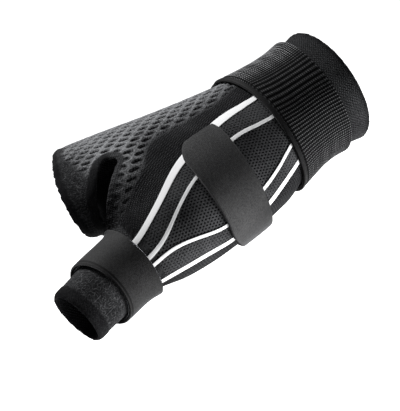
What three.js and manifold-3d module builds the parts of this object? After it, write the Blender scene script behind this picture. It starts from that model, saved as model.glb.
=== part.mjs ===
// Thumb spica splint for a right hand: a knitted sleeve over the wrist, the palm and the thumb, with an
// elastic strap round the wrist, a smooth strap round the thumb and one across the base of the thumb.
// Millimetres. The origin is the middle of the wrist, inside the wrist strap. +X runs up the forearm,
// +Z out of the back of the hand, and the thumb side faces -Y.
import * as THREE from "three";
import { mergeVertices } from "three/addons/utils/BufferGeometryUtils.js";
import Module from "manifold-3d";

const wasm = await Module();
wasm.setup();

// The knitted sleeve, shaped by the hand that it goes round
const KNIT_WALL = 1.8;
const WRIST_BREADTH = 57;
const WRIST_THICKNESS = 46;
const PALM_BREADTH = 82;
const PALM_THICKNESS = 33;
const CUFF_REACH = 21.4; // from the origin up the forearm to the cuff's rim
const PALM_REACH = 93; // from the origin down to the middle of the palm's rim
const PALM_SHIFT = 31; // how far the palm's rim lies towards the little finger
const PALM_RISE = 11.6; // and towards the back of the hand
const PALM_RIM_SLANT = 13; // degrees by which the palm's rim reaches further on the thumb side
const PALM_RIM_LEAN = 3; // degrees by which it reaches further on the back of the hand
const THUMB_REACH = 122; // from the origin down to the middle of the thumb's rim
const THUMB_SPREAD = 36; // how far the thumb's rim lies out on the thumb side
const THUMB_DROP = 9.2; // and towards the palm's side
const THUMB_ROOT_DIAMETER = 42;
const THUMB_RIM_DIAMETER = 23.6;
const THUMB_RIM_SLANT = 14; // degrees by which its rim reaches further on the outer side of the thumb
const THUMB_RIM_TURN = 27; // degrees from the thumb side towards the back to where it reaches furthest
const WEB_ROUNDING = 16; // how wide the sleeve rounds off between the palm and the thumb
const SLOT_LENGTH = 32; // the opening over the web of the thumb
const SLOT_WIDTH = 7;
const SLOT_TIP_WIDTH = 0.9;

// The straps and the stripes
const GAP = 0.3;
const STEP_UP = 25; // degrees over which a strap's end climbs on to its own start
const STRIPE_THICKNESS = 0.3;
const STRAP_THICKNESS = 1.4;
const WRIST_STRAP_WIDTH = 27.2;
const WRIST_STRAP_SWELL = 0.07; // how much wider it is over the back of the hand, at each edge
const WRIST_STRAP_START = 150; // degrees from the thumb side, over the back, to its inner end
const WRIST_STRAP_OVERLAP = 50; // degrees
const BINDING_WIDTH = 2.3;
const CUFF_MARGIN = 10.5; // the sleeve that shows beyond the wrist strap
const CROSS_STRAP_WIDTH = 19.4;
const CROSS_STRAP_CORNER = 7;
const CROSS_STRAP_PLACE = 0.377; // its middle, as a share of THUMB_REACH
const CROSS_STRAP_SKEW = 5; // how far its far edge turns towards the wrist on the palm's side
const CROSS_STRAP_START = [77, 84]; // degrees, at its edges, from the thumb side towards the back
const CROSS_STRAP_END = -125;
const THUMB_STRAP_WIDTH = 20.5;
const THUMB_STRAP_START_TURN = -170; // degrees from the thumb side to its inner end
const THUMB_STRAP_OVERLAP = 40; // degrees
const THUMB_CUFF_MARGIN = 14.3; // the sleeve that shows beyond the thumb strap

// How the sleeve changes from the forearm to the palm. along: 0 at the origin, 1 at the palm's rim, below 0
// up the forearm. breadth and thickness: 0 is the wrist's and 1 the palm's. shift and rise: shares of
// PALM_SHIFT and PALM_RISE. square: 2 is an ellipse and more is squarer.
const PALM_SECTIONS = [
  { along: -0.26, breadth: 0.15, thickness: -0.52, shift: -0.02, rise: 0.16, square: 2.0 },
  { along: -0.06, breadth: 0.0, thickness: 0.0, shift: 0.0, rise: 0.11, square: 2.0 },
  { along: 0.13, breadth: 0.02, thickness: -0.16, shift: 0.06, rise: 0.02, square: 2.0 },
  { along: 0.3, breadth: 0.18, thickness: 0.1, shift: 0.22, rise: 0.2, square: 2.1 },
  { along: 0.5, breadth: 0.5, thickness: 0.5, shift: 0.44, rise: 0.48, square: 2.2 },
  { along: 0.75, breadth: 0.85, thickness: 0.86, shift: 0.74, rise: 0.8, square: 2.3 },
  { along: 1.0, breadth: 1.0, thickness: 1.0, shift: 1.0, rise: 1.0, square: 2.4 },
  { along: 1.25, breadth: 1.05, thickness: 1.05, shift: 1.25, rise: 1.15, square: 2.4 },
];

// The middle line of the thumb from the wrist to its rim. along: share of THUMB_REACH. spread and drop:
// shares of THUMB_SPREAD and THUMB_DROP. girth: 0 is the rim's diameter and 1 the root's.
const THUMB_SECTIONS = [
  { along: 0.0, spread: 0.1, drop: 0.2, girth: -0.3 },
  { along: 0.1, spread: 0.17, drop: 0.34, girth: 0.36 },
  { along: 0.2, spread: 0.3, drop: 0.54, girth: 0.98 },
  { along: 0.45, spread: 0.47, drop: 0.71, girth: 0.98 },
  { along: 0.62, spread: 0.53, drop: 0.9, girth: 0.68 },
  { along: 0.75, spread: 0.6, drop: 1.0, girth: 0.16 },
  { along: 0.88, spread: 0.78, drop: 1.0, girth: 0.08 },
  { along: 1.0, spread: 1.0, drop: 1.0, girth: 0.0 },
];
const WEB_PLACE = 0.76; // where the thumb parts from the palm, as a share of THUMB_REACH

// The middle of the slot's wide end, as shares of PALM_REACH, THUMB_SPREAD and PALM_THICKNESS
const SLOT_PLACE = { along: 0.837, spread: 0.025, rise: 0.72 };
const SLOT_RUN = new THREE.Vector3(-0.66, -0.56, -0.56); // towards its narrow end
const SLOT_FACING = new THREE.Vector3(-0.2, -0.6, 0.78);

// The stripes. along: 0 at the wrist strap, 1 at the thumb strap. turn: degrees round the thumb's middle line
// from the thumb side (0) towards the back of the hand (90). width: millimetres.
const STRIPES = {
  stripe_back_wide: [
    { along: 0.0, turn: 66.5, width: 2.2 },
    { along: 0.1, turn: 73, width: 2.9 },
    { along: 0.27, turn: 77.8, width: 4.0 },
    { along: 0.4, turn: 77, width: 3.9 },
    { along: 0.52, turn: 76, width: 3.6 },
    { along: 0.6, turn: 74.3, width: 3.4 },
    { along: 0.7, turn: 68.3, width: 3.3 },
    { along: 0.79, turn: 60.8, width: 3.0 },
    { along: 0.9, turn: 52.8, width: 2.7 },
    { along: 1.0, turn: 46, width: 2.5 },
  ],
  stripe_back_narrow: [
    { along: 0.0, turn: 40.5, width: 1.3 },
    { along: 0.11, turn: 48.6, width: 1.4 },
    { along: 0.26, turn: 54.6, width: 1.5 },
    { along: 0.42, turn: 53.3, width: 1.4 },
    { along: 0.58, turn: 50, width: 1.4 },
    { along: 0.67, turn: 44.2, width: 1.4 },
    { along: 0.77, turn: 35, width: 1.4 },
    { along: 0.86, turn: 24.3, width: 1.6 },
    { along: 0.95, turn: 16.8, width: 1.7 },
    { along: 1.0, turn: 14, width: 1.7 },
  ],
  stripe_palm_narrow: [
    { along: 0.0, turn: 9.5, width: 1.4 },
    { along: 0.08, turn: 7, width: 1.4 },
    { along: 0.18, turn: 0.5, width: 1.5 },
    { along: 0.31, turn: -4.8, width: 1.5 },
    { along: 0.47, turn: -9.5, width: 1.4 },
    { along: 0.55, turn: -11, width: 1.4 },
    { along: 0.61, turn: -9.2, width: 1.3 },
    { along: 0.72, turn: -1.7, width: 1.3 },
    { along: 0.83, turn: 4.7, width: 1.3 },
    { along: 0.9, turn: 6, width: 1.4 },
    { along: 1.0, turn: 1.2, width: 1.4 },
  ],
  stripe_palm_wide: [
    { along: 0.0, turn: -10.5, width: 1.9 },
    { along: 0.08, turn: -11, width: 2.0 },
    { along: 0.19, turn: -18, width: 2.3 },
    { along: 0.32, turn: -24.7, width: 2.4 },
    { along: 0.47, turn: -31.5, width: 2.3 },
    { along: 0.55, turn: -33.2, width: 2.2 },
    { along: 0.68, turn: -29, width: 2.1 },
    { along: 0.8, turn: -27.2, width: 2.1 },
    { along: 0.9, turn: -27.5, width: 2.1 },
    { along: 1.0, turn: -33, width: 2.0 },
  ],
};

const FINEST = 0.01; // the smallest form that the sleeve keeps
const PALM_STEPS = 25;
const PALM_SIDES = 52;
const THUMB_STEPS = 12;
const THUMB_SIDES = 32;

const mix = (from, to, share) => from + (to - from) * share;
const smooth = (from, to, at) => THREE.MathUtils.smoothstep(at, from, to);
const radians = THREE.MathUtils.degToRad;
const range = (count) => Array.from({ length: count }, (_, i) => i);

// A smooth value of one column of a table, at a place along it.
function column(table, name, along) {
  const last = table.length - 1;
  if (along <= table[0].along) return table[0][name];
  if (along >= table[last].along) return table[last][name];
  const at = table.findIndex((row, i) => i < last && along < table[i + 1].along);
  const slope = (i) => {
    const low = table[Math.max(i - 1, 0)];
    const high = table[Math.min(i + 1, last)];
    return (high[name] - low[name]) / (high.along - low.along);
  };
  const span = table[at + 1].along - table[at].along;
  const t = (along - table[at].along) / span;
  return (
    table[at][name] * (2 * t ** 3 - 3 * t ** 2 + 1) +
    slope(at) * span * (t ** 3 - 2 * t ** 2 + t) +
    table[at + 1][name] * (3 * t ** 2 - 2 * t ** 3) +
    slope(at + 1) * span * (t ** 3 - t ** 2)
  );
}

function palmOval(x, level) {
  const at = (name) => column(PALM_SECTIONS, name, -x / PALM_REACH);
  return {
    y: PALM_SHIFT * at("shift"),
    z: PALM_RISE * at("rise"),
    halfY: mix(WRIST_BREADTH, PALM_BREADTH, at("breadth")) / 2 + level,
    halfZ: mix(WRIST_THICKNESS, PALM_THICKNESS, at("thickness")) / 2 + level,
    square: at("square"),
  };
}

function thumbMiddle(along) {
  return new THREE.Vector3(
    -THUMB_REACH * along,
    -THUMB_SPREAD * column(THUMB_SECTIONS, "spread", along),
    -THUMB_DROP * column(THUMB_SECTIONS, "drop", along),
  );
}

const thumbRadius = (along) =>
  mix(THUMB_RIM_DIAMETER, THUMB_ROOT_DIAMETER, column(THUMB_SECTIONS, "girth", along)) / 2;

// The thumb's middle and direction, and the directions across it: out on the thumb side, and up.
function thumbFrame(along) {
  const ahead = thumbMiddle(Math.min(along + 0.01, 1)).sub(thumbMiddle(Math.min(along, 0.99) - 0.01));
  ahead.normalize();
  const out = new THREE.Vector3(0, -1, 0).addScaledVector(ahead, ahead.y).normalize();
  const up = new THREE.Vector3().crossVectors(ahead, out);
  return { middle: thumbMiddle(along), ahead, out, up };
}

// The place on the thumb's middle line some way back from its rim.
function backFromRim(length) {
  let along = 1;
  for (let walked = 0; walked < length; along -= 0.001)
    walked += thumbMiddle(along).distanceTo(thumbMiddle(along - 0.001));
  return along;
}

// How far a point of a section lies outside an oval, along the line to the oval's middle.
function outsideOval(y, z, oval) {
  const shareY = Math.abs((y - oval.y) / oval.halfY) ** oval.square;
  const shareZ = Math.abs((z - oval.z) / oval.halfZ) ** oval.square;
  const share = Math.max((shareY + shareZ) ** (1 / oval.square), 0.01);
  return Math.hypot(y - oval.y, z - oval.z) * (1 - 1 / share);
}

function smoothMin(a, b, width) {
  const near = Math.max(width - Math.abs(a - b), 0) / width;
  return Math.min(a, b) - (near * near * width) / 4;
}

// A closed line with its points evenly spaced.
function evenly(points, count) {
  const next = (i) => points[(i + 1) % points.length];
  const lengths = [0];
  points.forEach((p, i) => lengths.push(lengths[i] + p.distanceTo(next(i))));
  let i = 0;
  return range(count).map((k) => {
    const want = (lengths[points.length] * k) / count;
    while (lengths[i + 1] < want) i++;
    return points[i].clone().lerp(next(i), (want - lengths[i]) / (lengths[i + 1] - lengths[i]));
  });
}

// The closed line at one x, seen from a middle, on which outside(y, z) turns from negative to positive.
function outline(x, middle, outside) {
  const points = range(240).map((i) => {
    const way = [Math.cos((2 * Math.PI * i) / 240), Math.sin((2 * Math.PI * i) / 240)];
    let [near, far] = [0, PALM_BREADTH];
    for (let n = 0; n < 30; n++) {
      const r = (near + far) / 2;
      if (outside(middle.y + r * way[0], middle.z + r * way[1]) < 0) near = r;
      else far = r;
    }
    return new THREE.Vector3(x, middle.y + near * way[0], middle.z + near * way[1]);
  });
  return evenly(points, PALM_SIDES);
}

// A manifold-3d solid from positions and triangles, turned so that its faces point out.
function solid(positions, faces) {
  const p = (i) => new THREE.Vector3().fromArray(positions, 3 * i);
  const volume = faces.reduce((sum, [a, b, c]) => sum + p(a).dot(p(b).cross(p(c))), 0);
  const turned = volume < 0 ? faces.map(([a, b, c]) => [a, c, b]) : faces;
  return new wasm.Manifold(
    new wasm.Mesh({
      numProp: 3,
      vertProperties: new Float32Array(positions),
      triVerts: new Uint32Array(turned.flat()),
    }),
  );
}

// The end of a strap, whose ring runs across its inner face and back across its outer face.
function pairCap(ring) {
  const last = ring.length - 1;
  return range(ring.length / 2 - 1).flatMap((k) => [
    [ring[k], ring[k + 1], ring[last - k - 1]],
    [ring[k], ring[last - k - 1], ring[last - k]],
  ]);
}

// A closed skin through rings of equally many points, with its ends closed from their middles or, for a
// strap, from face to face.
function loft(rings, isStrap = false) {
  const sides = rings[0].length;
  const points = rings.flat();
  const faces = range(rings.length - 1).flatMap((i) =>
    range(sides).flatMap((k) => {
      const [a, b] = [i * sides + k, i * sides + ((k + 1) % sides)];
      return [
        [a, b, b + sides],
        [a, b + sides, a + sides],
      ];
    }),
  );
  for (const i of [0, rings.length - 1]) {
    const ring = range(sides).map((k) => i * sides + k);
    const hub = points.length;
    const total = rings[i].reduce((sum, p) => sum.add(p), new THREE.Vector3());
    if (!isStrap) points.push(total.divideScalar(sides));
    const cap = isStrap ? pairCap(ring) : ring.map((a, k) => [hub, a, ring[(k + 1) % sides]]);
    faces.push(...(i === 0 ? cap.map(([a, b, c]) => [a, c, b]) : cap));
  }
  return solid(
    points.flatMap((p) => p.toArray()),
    faces,
  );
}

// A three.js solid set down with its X, Y and Z along the given directions.
function placed(geometry, along, across, facing, at) {
  geometry.deleteAttribute("normal");
  geometry.deleteAttribute("uv");
  geometry.applyMatrix4(new THREE.Matrix4().makeBasis(along, across, facing).setPosition(at));
  const merged = mergeVertices(geometry, 1e-4);
  const index = [...merged.index.array];
  return solid(
    [...merged.attributes.position.array],
    range(index.length / 3).map((i) => index.slice(3 * i, 3 * i + 3)),
  );
}

// The shape of the hand with the root of the thumb, level millimetres outside it, from over millimetres
// above the cuff to the web.
function wristSolid(level, over) {
  const end = -THUMB_REACH * WEB_PLACE - level;
  return loft(
    range(PALM_STEPS + 1).map((i) => {
      const x = mix(CUFF_REACH + over, end, i / PALM_STEPS);
      const { middle, ahead } = thumbFrame(Math.max(-x / THUMB_REACH, 0));
      const radius = thumbRadius(-x / THUMB_REACH) + level;
      const palm = palmOval(x, level);
      const root = { y: middle.y, z: middle.z, halfY: radius / Math.abs(ahead.x), halfZ: radius, square: 2 };
      return outline(x, { y: (palm.y + root.y) / 2, z: (palm.z + root.z) / 2 }, (y, z) =>
        smoothMin(outsideOval(y, z, palm), outsideOval(y, z, root), WEB_ROUNDING),
      );
    }),
  );
}

// How far in the palm and the thumb start, so that they come out of the wrist's solid at the web.
const tuck = (along) => 0.1 + 4 * Math.max(WEB_PLACE - along, 0);

function palmSolid(level) {
  const [start, end] = [THUMB_REACH * (WEB_PLACE - 0.15), 1.25 * PALM_REACH];
  return loft(
    range(13).map((i) => {
      const x = -mix(start, end, i / 12);
      const palm = palmOval(x, level - tuck(-x / THUMB_REACH));
      return outline(x, palm, (y, z) => outsideOval(y, z, palm));
    }),
  );
}

function thumbSolid(level, over) {
  return loft(
    range(THUMB_STEPS + 1).map((i) => {
      const along = mix(WEB_PLACE - 0.2, 1, i / THUMB_STEPS);
      const { middle, ahead, out, up } = thumbFrame(along);
      const past = smooth(0.9, 1, along);
      const radius = thumbRadius(along) + level - tuck(along);
      return range(THUMB_SIDES).map((k) => {
        const angle = (2 * Math.PI * k) / THUMB_SIDES;
        const slant = radius * Math.tan(radians(THUMB_RIM_SLANT)) * Math.cos(angle - radians(THUMB_RIM_TURN));
        return middle
          .clone()
          .addScaledVector(ahead, past * (over + slant))
          .addScaledVector(out, radius * Math.cos(angle))
          .addScaledVector(up, radius * Math.sin(angle));
      });
    }),
  );
}

// Everything past the palm's rim.
function pastPalm() {
  const size = 4 * PALM_BREADTH;
  const [slant, lean] = [radians(PALM_RIM_SLANT), radians(PALM_RIM_LEAN)];
  const way = new THREE.Vector3(-1, Math.tan(slant), -Math.tan(lean)).normalize();
  const across = new THREE.Vector3(-way.y, way.x, 0).normalize();
  const facing = new THREE.Vector3().crossVectors(way, across);
  const rim = new THREE.Vector3(-PALM_REACH, PALM_SHIFT, PALM_RISE);
  const block = new THREE.BoxGeometry(size, size, size);
  return placed(block, way, across, facing, rim.addScaledVector(way, size / 2));
}

// The opening over the web: a wide round end that narrows to a small one.
function slotSolid() {
  const [wide, narrow] = [SLOT_WIDTH / 2, SLOT_TIP_WIDTH / 2];
  const apart = SLOT_LENGTH - wide - narrow;
  const lean = Math.acos((wide - narrow) / apart);
  const shape = new THREE.Shape();
  shape.absarc(0, 0, wide, lean, 2 * Math.PI - lean);
  shape.absarc(apart, 0, narrow, -lean, lean);
  shape.closePath();
  const depth = 0.42 * PALM_THICKNESS;
  const plug = new THREE.ExtrudeGeometry(shape, { depth, bevelEnabled: false, curveSegments: 10 });
  plug.translate(0, 0, -0.55 * depth);
  const facing = SLOT_FACING.clone().normalize();
  const along = SLOT_RUN.clone().addScaledVector(facing, -SLOT_RUN.dot(facing)).normalize();
  const across = new THREE.Vector3().crossVectors(facing, along);
  const { along: reach, spread, rise } = SLOT_PLACE;
  const at = new THREE.Vector3(-PALM_REACH * reach, -THUMB_SPREAD * spread, PALM_THICKNESS * rise);
  return placed(plug, along, across, facing, at);
}

// A solid without the slivers that a join of nearly touching faces can leave.
function largest(manifold) {
  return manifold.decompose().reduce((best, body) => (body.volume() > best.volume() ? body : best));
}

function meshOf(name, manifold, material) {
  const made = manifold.getMesh();
  const geometry = new THREE.BufferGeometry();
  geometry.setAttribute("position", new THREE.BufferAttribute(new Float32Array(made.vertProperties), 3));
  geometry.setIndex(new THREE.BufferAttribute(new Uint32Array(made.triVerts), 1));
  geometry.computeVertexNormals();
  const mesh = new THREE.Mesh(geometry, material);
  mesh.name = name;
  return mesh;
}

const knit = new THREE.MeshStandardMaterial({ color: 0x1c1c1e, roughness: 0.9, metalness: 0 });
const elastic = new THREE.MeshStandardMaterial({ color: 0x222224, roughness: 0.8, metalness: 0 });
const smoothCloth = new THREE.MeshStandardMaterial({ color: 0x3a3a3c, roughness: 0.7, metalness: 0 });
const white = new THREE.MeshStandardMaterial({ color: 0xf0f0f0, roughness: 0.6, metalness: 0 });

const outer = wristSolid(0, 0).add(palmSolid(0)).subtract(pastPalm()).add(thumbSolid(0, 0));
const inner = largest(wristSolid(-KNIT_WALL, 2).add(palmSolid(-KNIT_WALL)).add(thumbSolid(-KNIT_WALL, 2)));
const sleeve = largest(outer.subtract(inner).subtract(slotSolid()).simplify(FINEST));

const skin = meshOf("skin", outer, new THREE.MeshBasicMaterial({ side: THREE.DoubleSide }));
const caster = new THREE.Raycaster();

// How far the sleeve's outer face is from a place inside it. A ray along an edge can miss both of its faces,
// so it is tried again turned a little.
function reachOf({ from, way }) {
  for (const turn of [0, 1e-4, -1e-4, 1e-3]) {
    caster.set(from, new THREE.Vector3(way.x + turn, way.y + turn, way.z - turn).normalize());
    const [hit] = caster.intersectObject(skin);
    if (hit) return hit.distance;
  }
  throw new Error("a ray from inside the sleeve met nothing");
}

// A strap or a stripe on the sleeve. ray(t, s) gives the line out of the sleeve for the share t of its length
// and s of its width. lift(t) is how far above the sleeve its inner face is.
function strip({ steps, across, ray, lift, thickness, isTaut }) {
  const rows = range(steps + 1).map((i) => range(across + 1).map((j) => ray(i / steps, j / across)));
  for (const row of rows) for (const line of row) line.reach = reachOf(line);
  const at = ({ from, way, reach }, above) => from.clone().addScaledVector(way, reach + above);
  for (let round = 0; isTaut && round < 40; round++)
    for (let i = 1; i < steps; i++)
      rows[i].forEach((line, j) => {
        const between = at(rows[i - 1][j], 0).lerp(at(rows[i + 1][j], 0), 0.5);
        line.reach += Math.max(between.sub(at(line, 0)).dot(line.way), 0);
      });
  return loft(
    rows.map((row, i) => {
      const above = lift(i / steps);
      const face = (height) => row.map((line) => at(line, height));
      return [...face(above), ...face(above + thickness).reverse()];
    }),
    true,
  );
}

// The line out of the thumb's root at one x. turn is in degrees, from the thumb side towards the back.
function rootRay(x, turn) {
  const from = thumbMiddle(-x / THUMB_REACH).setX(x);
  return { from, way: new THREE.Vector3(0, -Math.cos(radians(turn)), Math.sin(radians(turn))) };
}

const WRIST_EDGE = CUFF_REACH - CUFF_MARGIN; // the wrist strap's edge at the cuff, and the one below it
const BINDING_EDGE = WRIST_EDGE - WRIST_STRAP_WIDTH;
const THUMB_STRAP_END = backFromRim(THUMB_CUFF_MARGIN);
const THUMB_STRAP_START = backFromRim(THUMB_CUFF_MARGIN + THUMB_STRAP_WIDTH);
const STRAP_LIFT = GAP + STRIPE_THICKNESS + GAP;
const LAYER = STRAP_THICKNESS + GAP;

// A strip right round the wrist between two values of x, whose end lies over its own start.
function roundWrist(from, to, across) {
  const turns = 360 + WRIST_STRAP_OVERLAP;
  return strip({
    steps: 56,
    across,
    ray: (t, s) => {
      const turn = WRIST_STRAP_START + t * turns;
      const around = turn % 360;
      const swell = smooth(20, 110, around) * (1 - smooth(200, 300, around)) * WRIST_STRAP_SWELL;
      const middle = WRIST_EDGE - WRIST_STRAP_WIDTH / 2;
      const x = middle + (mix(from, to, s) - middle) * (1 + 2 * swell);
      const { y, z } = palmOval(x, 0);
      const way = new THREE.Vector3(0, -Math.cos(radians(turn)), Math.sin(radians(turn)));
      return { from: new THREE.Vector3(x, y, z), way };
    },
    lift: (t) => STRAP_LIFT + LAYER * smooth(360 - STEP_UP, 360, t * turns),
    thickness: STRAP_THICKNESS,
  });
}

function crossStrap() {
  const middle = -THUMB_REACH * CROSS_STRAP_PLACE;
  const around = radians(CROSS_STRAP_START[1] - CROSS_STRAP_END) * (THUMB_ROOT_DIAMETER / 2 + STRAP_LIFT);
  return strip({
    steps: 34,
    across: 5,
    ray: (t, s) => {
      const fine = t < 0.25 ? t * t * 4 : t;
      const turn = mix(mix(...CROSS_STRAP_START, s), CROSS_STRAP_END, fine);
      const fromEnd = Math.min(fine * around, CROSS_STRAP_CORNER);
      const corner = CROSS_STRAP_CORNER;
      const cut = corner - Math.sqrt(corner ** 2 - (corner - fromEnd) ** 2);
      const edges = [middle + CROSS_STRAP_WIDTH / 2 - 0.2 * cut, middle - CROSS_STRAP_WIDTH / 2 + 0.8 * cut];
      return rootRay(mix(...edges, s) + s * CROSS_STRAP_SKEW * smooth(20, 75, -turn), turn);
    },
    lift: () => STRAP_LIFT,
    thickness: STRAP_THICKNESS,
    isTaut: true,
  });
}

function thumbStrap() {
  const turns = 360 + THUMB_STRAP_OVERLAP;
  return strip({
    steps: 40,
    across: 4,
    ray: (t, s) => {
      const { middle, out, up } = thumbFrame(mix(THUMB_STRAP_START, THUMB_STRAP_END, s));
      const turn = radians(THUMB_STRAP_START_TURN + t * turns);
      return { from: middle, way: out.multiplyScalar(Math.cos(turn)).addScaledVector(up, Math.sin(turn)) };
    },
    lift: (t) => STRAP_LIFT + LAYER * smooth(360 - STEP_UP, 360, t * turns),
    thickness: STRAP_THICKNESS,
  });
}

function stripe(table) {
  const from = BINDING_EDGE + 1.5;
  const to = -THUMB_REACH * THUMB_STRAP_START + 1.5;
  return strip({
    steps: 26,
    across: 2,
    ray: (t, s) => {
      const x = mix(from, to, t);
      const along = (BINDING_EDGE - x) / (BINDING_EDGE - to - 2);
      const line = rootRay(x, column(table, "turn", along));
      const half = (column(table, "width", along) / 2 / reachOf(line)) * (180 / Math.PI);
      return rootRay(x, column(table, "turn", along) + mix(half, -half, s));
    },
    lift: () => GAP,
    thickness: STRIPE_THICKNESS,
  });
}

const splint = new THREE.Group();
splint.add(
  meshOf("knit_sleeve", sleeve, knit),
  meshOf("wrist_strap", roundWrist(WRIST_EDGE, BINDING_EDGE + BINDING_WIDTH + GAP, 4), elastic),
  meshOf("wrist_strap_binding", roundWrist(BINDING_EDGE + BINDING_WIDTH, BINDING_EDGE, 1), smoothCloth),
  meshOf("cross_strap", crossStrap(), smoothCloth),
  meshOf("thumb_strap", thumbStrap(), smoothCloth),
  ...Object.entries(STRIPES).map(([name, table]) => meshOf(name, stripe(table), white)),
);

export default splint;
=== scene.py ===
"""Thumb spica splint: a knitted sleeve with an elastic wrist strap, two smooth straps and white stripes.

Lengths in this file are millimetres up to the point where a mesh is made, and metres in Blender.
"""
import math

import bmesh
import bpy
import numpy as np
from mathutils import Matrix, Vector
from mathutils.bvhtree import BVHTree


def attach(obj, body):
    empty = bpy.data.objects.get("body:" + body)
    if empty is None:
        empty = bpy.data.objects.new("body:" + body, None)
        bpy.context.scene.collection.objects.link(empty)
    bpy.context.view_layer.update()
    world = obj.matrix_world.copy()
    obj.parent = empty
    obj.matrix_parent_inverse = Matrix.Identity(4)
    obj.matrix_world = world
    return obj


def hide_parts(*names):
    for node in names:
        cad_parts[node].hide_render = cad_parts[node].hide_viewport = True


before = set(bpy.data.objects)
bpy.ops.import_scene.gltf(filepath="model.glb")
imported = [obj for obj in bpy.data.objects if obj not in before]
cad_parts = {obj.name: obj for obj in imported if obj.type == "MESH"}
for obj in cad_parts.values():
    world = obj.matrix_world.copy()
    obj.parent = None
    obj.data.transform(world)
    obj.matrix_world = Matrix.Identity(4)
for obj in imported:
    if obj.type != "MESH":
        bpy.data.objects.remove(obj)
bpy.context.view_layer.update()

MM = 0.001

# The camera stands at the photograph's angle and is rolled as the photograph is
CAMERA_AZIMUTH, CAMERA_ELEVATION, CAMERA_ROLL = -12.9, 21.5, 28.2
FOCAL_PIXELS = 960
FRAME_PIXELS = (400, 411)
ORIGIN_PIXEL = (289, 114)
ORIGIN_DEPTH = 405
SENSOR = 36

# The studio, in metres
LIT_PLACE = Vector((-0.05, 0, 0))
FLOOR_RADIUS, FLOOR_HEIGHT = 20, -0.25
FLOOR_GLOW = 0.92
SKY_STRENGTH = 0.14

# The middle lines of the palm and of the thumb, from the forearm on: x, y, z
PALM_LINE = np.array([
    (22.3, -0.6, 0.6), (5.6, 0.0, 1.3), (-12.1, 1.9, 0.2), (-27.9, 6.8, 2.3),
    (-46.5, 13.6, 5.6), (-69.8, 22.9, 9.3), (-93.0, 31.0, 11.6), (-116.3, 38.8, 13.3),
])
THUMB_LINE = np.array([
    (22.3, -1.0, 0.0), (0.0, -3.6, -1.8), (-12.2, -6.1, -3.1), (-24.4, -10.8, -5.0),
    (-54.9, -16.9, -6.5), (-75.6, -19.1, -8.3), (-91.5, -21.6, -9.2), (-107.4, -28.1, -9.2),
    (-122.0, -36.0, -9.2), (-130.0, -40.5, -9.2),
])
PALM_RIM = PALM_LINE[6]
PALM_RIM_WAY = np.array((-1.0, math.tan(math.radians(13)), -0.05))
THUMB_RIM = THUMB_LINE[8]
THUMB_RIM_WAY = THUMB_LINE[8] - THUMB_LINE[7]
PALM_HALF_BREADTH, PALM_HALF_THICKNESS = 41, 17
THUMB_HALF_BREADTH = 13
THUMB_RADIUS = 12
WEB_X, CROTCH_X = -88, -90

# The slot's middle line, seen from above, and its knots
SLOT_START, SLOT_END = np.array((-75.0, 4.0)), np.array((-92.5, -12.7))
KNOT_PITCH = 1.7

# The sleeve's mesh, and the shares by which its points go in and out in each smoothing
SLEEVE_VOXEL = 0.9
IN_SHARE, OUT_SHARE = 0.5, -0.515
RIM_SPREAD = 5
RIM_CURL = 1.1

# The widths of the smooth hems, and the width over which each runs out
CUFF_HEM, THUMB_HEM, LOOP_HEM, SLOT_HEM = 1.4, 4.6, 2.7, 3.4
HEM_END, SLOT_HEM_END = 0.5, 0.6

# The straps
WRIST_EDGE, BINDING_EDGE, BINDING_WIDTH = 10.9, -16.3, 2.3
STRAP_LIFT, STRAP_THICKNESS, STRAP_GAP = 0.9, 1.4, 0.3
STRAP_ROUNDING = 0.7
STEP_UP = 25  # degrees over which a strap's end climbs on to its own start
WRIST_START, WRIST_OVERLAP = 150, 50
WRIST_SWELL = 0.07
CROSS_MIDDLE, CROSS_WIDTH, CROSS_CORNER = -46.0, 19.4, 7.0
CROSS_START, CROSS_END = (77, 84), -125
CROSS_SKEW = 5
ROOT_RADIUS = 21.0
THUMB_REACH, THUMB_CUFF_MARGIN, THUMB_STRAP_WIDTH = 122.0, 14.3, 20.5
THUMB_START, THUMB_OVERLAP = -170, 40
LINE_PLACE, LINE_WIDTH, LINE_DEPTH = 1.5, 0.28, 0.3

# The webbing's ribs and beads: the ribs are wider over the back of the thumb side
WEBBING_PITCH, WEBBING_WIDER = 1.35, 1.1
BEAD_PITCH = 0.95

# The stripes
STRIPE_NODES = ["stripe_back_wide", "stripe_back_narrow", "stripe_palm_narrow", "stripe_palm_wide"]
STRIPE_THICKNESS, STRIPE_LIFT, STRIPE_ROUNDING = 0.24, 0.24, 0.06
STRIPE_SHARES = np.array((0, 0.02, 0.05, 0.25, 0.5, 0.75, 0.95, 0.98, 1))

# The pitches of the materials' patterns
UV_UNIT = 10
STITCH_COURSE, STITCH_WALE = 1.1, 1.5
KNIT_RIB_PITCH = 0.85
EYELETS_ALONG, EYELETS_ACROSS = 1.35, 1.2
CLOTH_WEAVE = 0.55
WEBBING_YARN = 0.4
STRIPE_YARN = (0.7, 0.6)

# The lower edge of the dimpled knit: x, and degrees about the thumb's middle line
DIMPLE_EDGE = np.array([
    (20.0, 95.0), (-17.0, 96.0), (-30.7, 97.0), (-43.5, 105.0), (-54.5, 113.0),
    (-60.4, 112.5), (-64.0, 107.5), (-67.7, 100.5), (-71.4, 98.0), (-79.9, 96.0),
    (-84.2, 98.0), (-89.8, 106.0), (-96.0, 112.0),
])
DIMPLE_PITCH, DIMPLE_ROWS = 6.1, 4.1
DIMPLE_LONG, DIMPLE_WIDE = 2.35, 1.62


def smooth(low, high, value):
    """0 up to low, 1 from high on, and an even change between them."""
    share = np.clip((value - low) / (high - low), 0, 1)
    return share * share * (3 - 2 * share)


def relaxed_rows(values, rounds):
    """An array smoothed along its rows' order, with its first and last row kept."""
    for _ in range(rounds):
        values = values.copy()
        values[1:-1] = 0.5 * values[1:-1] + 0.25 * (values[:-2] + values[2:])
    return values


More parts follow.
